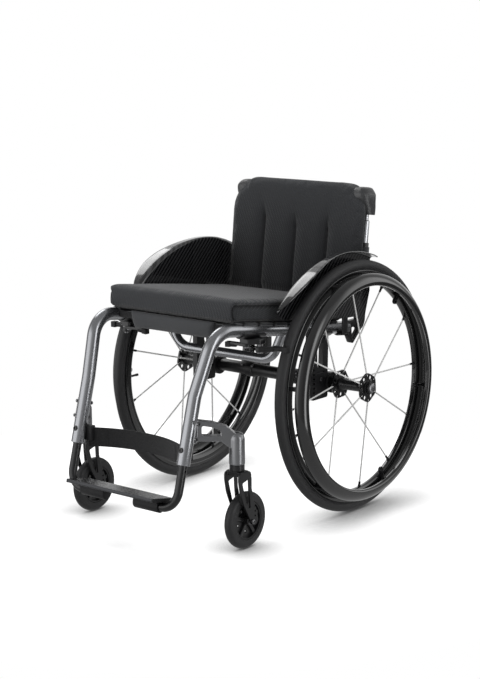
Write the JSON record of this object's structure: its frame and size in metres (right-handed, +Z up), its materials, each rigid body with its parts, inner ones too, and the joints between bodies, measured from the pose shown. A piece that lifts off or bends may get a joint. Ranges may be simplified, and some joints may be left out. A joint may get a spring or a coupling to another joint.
{
  "type": "active wheelchair",
  "caption": "Rigid active wheelchair with cambered spoked wheels, swivel casters, side guards, fold-forward back, seat cushion and height-adjustable footrest.",
  "frame": {"origin": "centre of the footprint's bounding box, on the ground", "axes": "+X to the occupant's left, -Y to the front, +Z up"},
  "size_m": [0.5952, 0.8736, 0.7616],
  "materials": {
    "frame_paint": "silver grey metallic paint",
    "black_metal": "satin black",
    "cast_arm": "blasted casting",
    "guard_shell": "glossy moulded shell",
    "black_plastic": "matte moulded",
    "bright_tube": "polished",
    "cap_leather": "grained",
    "caster_rubber": "matte",
    "tyre_rubber": "matte tread",
    "rim_alloy": "black anodised",
    "hub_alloy": "black anodised",
    "handrim_gloss": "gloss black",
    "webbing": "woven webbing",
    "cushion_cloth": "spacer mesh",
    "plate_alloy": "ribbed, anodised dark"
  },
  "bodies": {
    "frame": {"axle_tube": "black_metal", "calf_strap": "webbing", "cross_tube": "frame_paint", "left_axle_bracket": "black_metal", "left_axle_pin": "bright_tube", "left_back_bracket": "black_metal", "left_brake_clamp": "black_metal", "left_caster_arm": "cast_arm", "left_caster_sleeve": "black_plastic", "left_side_frame": "frame_paint", "left_side_guard": "guard_shell", "left_strap_mount": "black_plastic", "right_axle_bracket": "black_metal", "right_axle_pin": "bright_tube", "right_back_bracket": "black_metal", "right_brake_clamp": "black_metal", "right_caster_arm": "cast_arm", "right_caster_sleeve": "black_plastic", "right_side_frame": "frame_paint", "right_side_guard": "guard_shell", "right_strap_mount": "black_plastic", "seat_cushion": "cushion_cloth", "seat_sling": "webbing"},
    "left_wheel": {"left_tyre": "tyre_rubber", "left_rim": "rim_alloy", "left_wheel_hub": "hub_alloy", "left_handrim": "handrim_gloss"},
    "left_button": {"left_release_button": "bright_tube"},
    "left_caster": {"left_caster_fork": "black_metal", "left_caster_bolt": "bright_tube"},
    "left_caster_wheel": {"left_caster_hub": "black_plastic", "left_caster_tyre": "caster_rubber"},
    "left_brake_arm_body": {"left_brake_arm": "black_metal"},
    "left_brake_lever_body": {"left_brake_lever": "black_metal"},
    "right_wheel": {"right_tyre": "tyre_rubber", "right_rim": "rim_alloy", "right_wheel_hub": "hub_alloy", "right_handrim": "handrim_gloss"},
    "right_button": {"right_release_button": "bright_tube"},
    "right_caster": {"right_caster_fork": "black_metal", "right_caster_bolt": "bright_tube"},
    "right_caster_wheel": {"right_caster_hub": "black_plastic", "right_caster_tyre": "caster_rubber"},
    "right_brake_arm_body": {"right_brake_arm": "black_metal"},
    "right_brake_lever_body": {"right_brake_lever": "black_metal"},
    "back": {"left_back_cane": "black_metal", "left_back_tube": "bright_tube", "left_back_cap": "cap_leather", "right_back_cane": "black_metal", "right_back_tube": "bright_tube", "right_back_cap": "cap_leather", "back_sling": "webbing", "back_cushion": "cushion_cloth"},
    "footrest": {"left_footrest_tube": "black_metal", "right_footrest_tube": "black_metal"},
    "footplate_body": {"footplate": "plate_alloy", "left_footplate_clamp": "black_plastic", "right_footplate_clamp": "black_plastic"}
  },
  "joints": [
    {"name": "left_wheel_spin", "type": "hinge", "parent": "frame", "child": "left_wheel", "pos_m": [0.2441, 0.14179, 0.29496], "axis": [0.9998, 0, 0.0175], "continuous": true},
    {"name": "left_button_press", "type": "slide", "parent": "frame", "child": "left_button", "axis": [-0.9998, 0, -0.0175], "range_m": [0, 0.0045], "stiffness_N_per_m": 900, "springref_m": -0.002},
    {"name": "left_caster_swivel", "type": "hinge", "parent": "frame", "child": "left_caster", "pos_m": [0.2303, -0.27421, 0.19], "axis": [0, 0, 1], "continuous": true},
    {"name": "left_caster_spin", "type": "hinge", "parent": "left_caster", "child": "left_caster_wheel", "pos_m": [0.2303, -0.24891, 0.0635], "axis": [1, 0, 0], "continuous": true},
    {"name": "left_brake_arm_swing", "type": "hinge", "parent": "frame", "child": "left_brake_arm_body", "pos_m": [0.2, -0.15821, 0.427], "axis": [0, 0, 1], "range_deg": [-50, 7]},
    {"name": "left_brake_lever_swing", "type": "hinge", "parent": "frame", "child": "left_brake_lever_body", "pos_m": [0.177, -0.17321, 0.434], "axis": [0, 0, 1], "range_deg": [-5, 35.5]},
    {"name": "right_wheel_spin", "type": "hinge", "parent": "frame", "child": "right_wheel", "pos_m": [-0.2441, 0.14179, 0.29496], "axis": [-0.9998, 0, 0.0175], "continuous": true},
    {"name": "right_button_press", "type": "slide", "parent": "frame", "child": "right_button", "axis": [0.9998, 0, -0.0175], "range_m": [0, 0.0045], "stiffness_N_per_m": 900, "springref_m": -0.002},
    {"name": "right_caster_swivel", "type": "hinge", "parent": "frame", "child": "right_caster", "pos_m": [-0.2303, -0.27421, 0.19], "axis": [0, 0, 1], "continuous": true},
    {"name": "right_caster_spin", "type": "hinge", "parent": "right_caster", "child": "right_caster_wheel", "pos_m": [-0.2303, -0.24891, 0.0635], "axis": [1, 0, 0], "continuous": true},
    {"name": "right_brake_arm_swing", "type": "hinge", "parent": "frame", "child": "right_brake_arm_body", "pos_m": [-0.2, -0.15821, 0.427], "axis": [0, 0, -1], "range_deg": [-50, 7]},
    {"name": "right_brake_lever_swing", "type": "hinge", "parent": "frame", "child": "right_brake_lever_body", "pos_m": [-0.177, -0.17321, 0.434], "axis": [0, 0, -1], "range_deg": [-5, 35.5]},
    {"name": "back_fold", "type": "hinge", "parent": "frame", "child": "back", "pos_m": [0, 0.25248, 0.478], "axis": [1, 0, 0], "range_deg": [0, 45]},
    {"name": "footrest_height", "type": "slide", "parent": "frame", "child": "footrest", "axis": [0, 0.269, 0.9631], "range_m": [-0.045, 0.035]},
    {"name": "footplate_angle", "type": "hinge", "parent": "footrest", "child": "footplate_body", "pos_m": [0, -0.39546, 0.106], "axis": [1, 0, 0], "range_deg": [-15, 15]}
  ],
  "couplings": [
    {"joint": "left_brake_lever_swing", "follows": "left_brake_arm_swing", "ratio": -0.7},
    {"joint": "right_brake_lever_swing", "follows": "right_brake_arm_swing", "ratio": -0.7}
  ]
}
